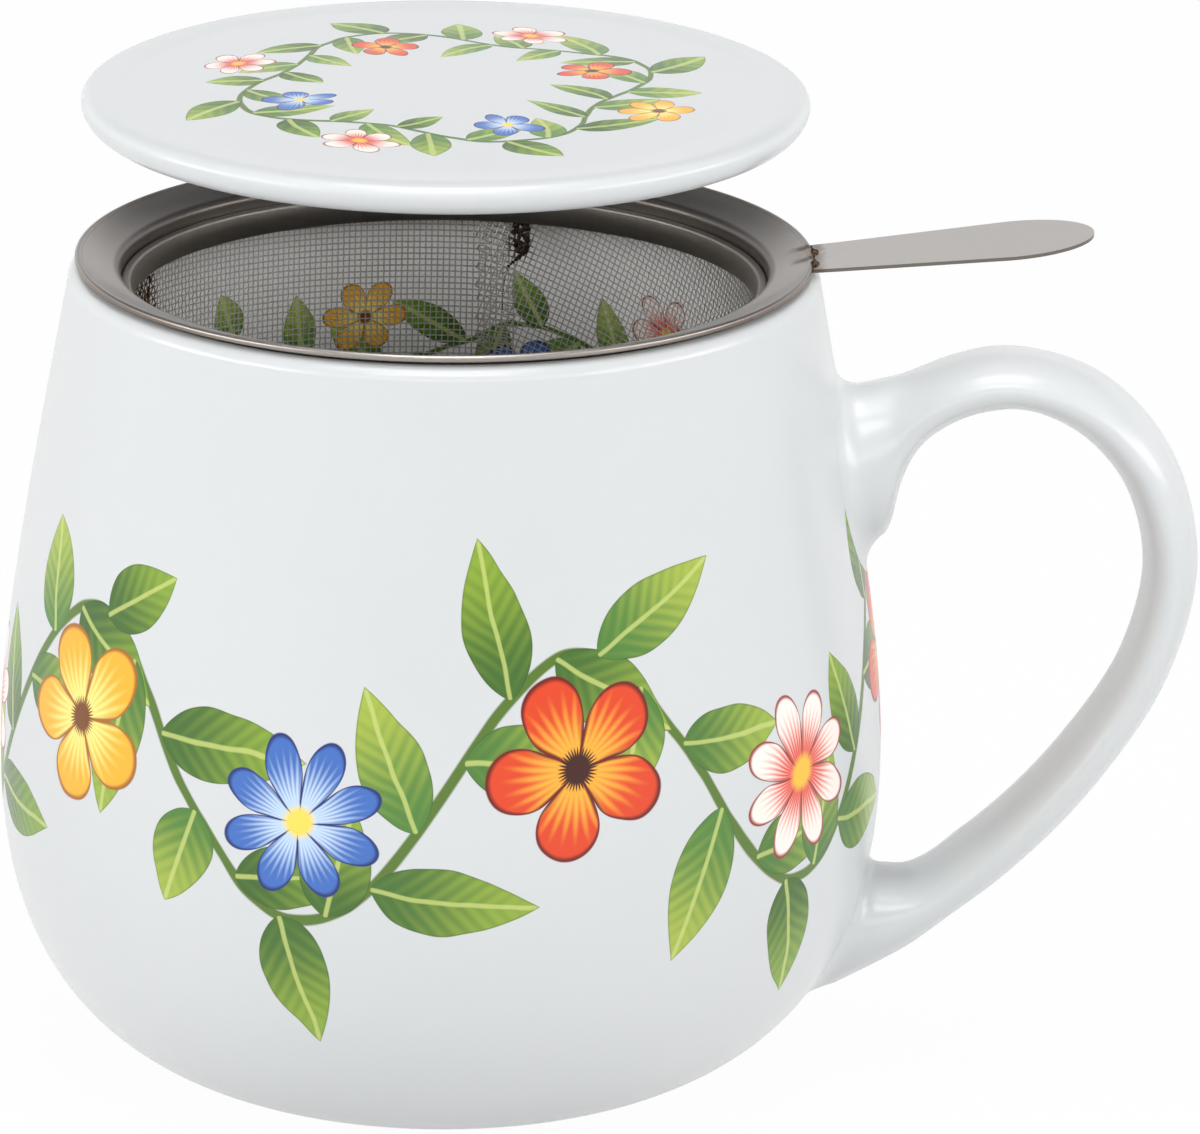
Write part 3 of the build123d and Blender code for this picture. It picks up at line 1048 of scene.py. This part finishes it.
body = make_body()
give(body, plain, "mug", "porcelain", "mug_body")
body.data.materials.append(printed)
body.data.materials.append(lined)
for face in body.data.polygons:
    outward = face.normal.x * face.center.x + face.normal.y * face.center.y
    if face.center.z < mug_height - lip_round and face.center.z > foot_recess:
        if outward > 0:
            face.material_index = 1
        elif face.center.z > floor_height + wall:
            face.material_index = 2

give(make_handle(), plain, "mug", "porcelain", "mug_handle")
lid = lathe("lid_glazed", lid_profile())
give(lid, plain, "lid", "porcelain", "lid")
lid.data.materials.append(lid_glaze)
for face in lid.data.polygons:
    if face.normal.z > 0.7 and face.center.z > lid_high[2] - lid_thickness / 2:
        face.material_index = 1
give(make_rim(), rim_steel, "strainer", "stainless_sheet", "strainer_rim")
give(make_retaining_ring(), sheet_steel, "strainer", "stainless_sheet", "strainer_retaining_ring")
give(make_base_ring(), sheet_steel, "strainer", "stainless_sheet", "strainer_base_ring")
wall_warp, wall_weft = make_mesh_wall()
give(wall_warp, wire_steel, "strainer", "stainless_mesh", "strainer_mesh_wall", "strainer_mesh_seam")
give(wall_weft, wire_steel, "strainer", "stainless_mesh")
floor_warp, floor_weft = make_mesh_floor()
give(floor_warp, wire_steel, "strainer", "stainless_mesh", "strainer_mesh_floor")
give(floor_weft, wire_steel, "strainer", "stainless_mesh")
give(make_tab_welds(), weld, "strainer", "weld", "tab_welds")
give(make_seam_scale(), scale, "strainer", "weld")
give(make_clamp_ends(), weld, "strainer", "weld")
tab = make_tab()
give(tab, tab_steel, "strainer", "stainless_sheet", "strainer_tab")


# Floor, light and camera


def make_floor():
    """A wide white floor that keeps a faint shadow of the object."""
    size = 12.0
    floor_white, floor_glow = (0.75, 0.75, 0.75, 1), 0.97
    corners = [(-size, -size, 0), (size, -size, 0), (size, size, 0), (-size, size, 0)]
    floor = mesh_object("floor", corners, [(0, 1, 2, 3)])
    material, tree, shader = new_material("floor_white")
    nodes, links = tree.nodes, tree.links
    shader.inputs["Base Color"].default_value = floor_white
    shader.inputs["Roughness"].default_value = 0.9
    glow = nodes.new("ShaderNodeEmission")
    glow.inputs["Strength"].default_value = 1
    path = nodes.new("ShaderNodeLightPath")
    camera_ray, mirror_ray = Field(path.outputs["Is Camera Ray"]), Field(path.outputs["Is Glossy Ray"])
    seen = calculate("MAXIMUM", camera_ray, mirror_ray)
    mix = nodes.new("ShaderNodeMixShader")
    feed(mix.inputs["Fac"], seen * floor_glow)
    links.new(shader.outputs["BSDF"], mix.inputs[1])
    links.new(glow.outputs["Emission"], mix.inputs[2])
    links.new(mix.outputs["Shader"], nodes["Material Output"].inputs["Surface"])
    floor.data.materials.append(material)


def add_lamp(name, turn, elevation, width, height, power):
    """A soft lamp at this turn from the front and this elevation, in degrees, that faces the object."""
    turn, elevation = math.radians(turn), math.radians(elevation)
    light = bpy.data.lights.new(name, "AREA")
    light.shape = "RECTANGLE"
    light.size = width
    light.size_y = height
    light.energy = power
    lamp = bpy.data.objects.new(name, light)
    flat = math.cos(elevation)
    way = Vector((math.sin(turn) * flat, -math.cos(turn) * flat, math.sin(elevation)))
    lamp.location = lamp_aim + way * lamp_distance
    lamp.rotation_euler = way.to_track_quat("Z", "Y").to_euler()
    bpy.context.collection.objects.link(lamp)
    return lamp


def pass_through(name, lamps, *pieces):
    """Keeps these thin pieces from throwing a shadow in the light of these lamps."""
    passed = bpy.data.collections.new(name)
    for piece in pieces:
        passed.objects.link(piece)
    for entry in passed.collection_objects:
        entry.light_linking.link_state = "EXCLUDE"
    for lamp in lamps:
        lamp.light_linking.blocker_collection = passed


def make_light():
    """Low lamps round the front that reach into the strainer, high ones, and a bright low band behind."""
    low = [add_lamp(name, *values) for name, values in low_lamps.items()]
    high = [add_lamp(name, *values) for name, values in high_lamps.items()]
    pass_through("without_low_shadow", low, wall_warp, wall_weft)
    pass_through("without_high_shadow", high, wall_warp, wall_weft, tab)
    world = bpy.data.worlds.new("surround")
    world.use_nodes = True
    tree = world.node_tree
    split = tree.nodes.new("ShaderNodeSeparateXYZ")
    tree.links.new(tree.nodes.new("ShaderNodeTexCoord").outputs["Generated"], split.inputs["Vector"])
    near_floor = ramp(Field(split.outputs["Z"]), 0.48, 0.31)
    behind = ramp(Field(split.outputs["Y"]), -0.3, 0.4)
    dim, bright = (0.05, 0.05, 0.05, 1), (0.9, 0.9, 0.91, 1)
    shade = tree.nodes["Background"]
    feed(shade.inputs["Color"], blend(near_floor * behind, dim, bright))
    shade.inputs["Strength"].default_value = 1
    bpy.context.scene.world = world
    bpy.context.scene.view_settings.view_transform = "Standard"


def make_camera():
    """The camera where the photograph was taken from."""
    data = bpy.data.cameras.new("camera")
    data.lens = camera_lens
    data.sensor_width = camera_sensor
    data.clip_end = 50
    camera = bpy.data.objects.new("camera", data)
    back = Vector((0, -math.cos(camera_elevation), math.sin(camera_elevation)))
    camera.location = camera_pivot + back * camera_distance
    turn = (camera_aim - camera.location).to_track_quat("-Z", "Y")
    camera.rotation_euler = (turn @ Quaternion((0, 0, 1), camera_roll)).to_euler()
    bpy.context.collection.objects.link(camera)
    bpy.context.scene.camera = camera


make_floor()
make_light()
make_camera()
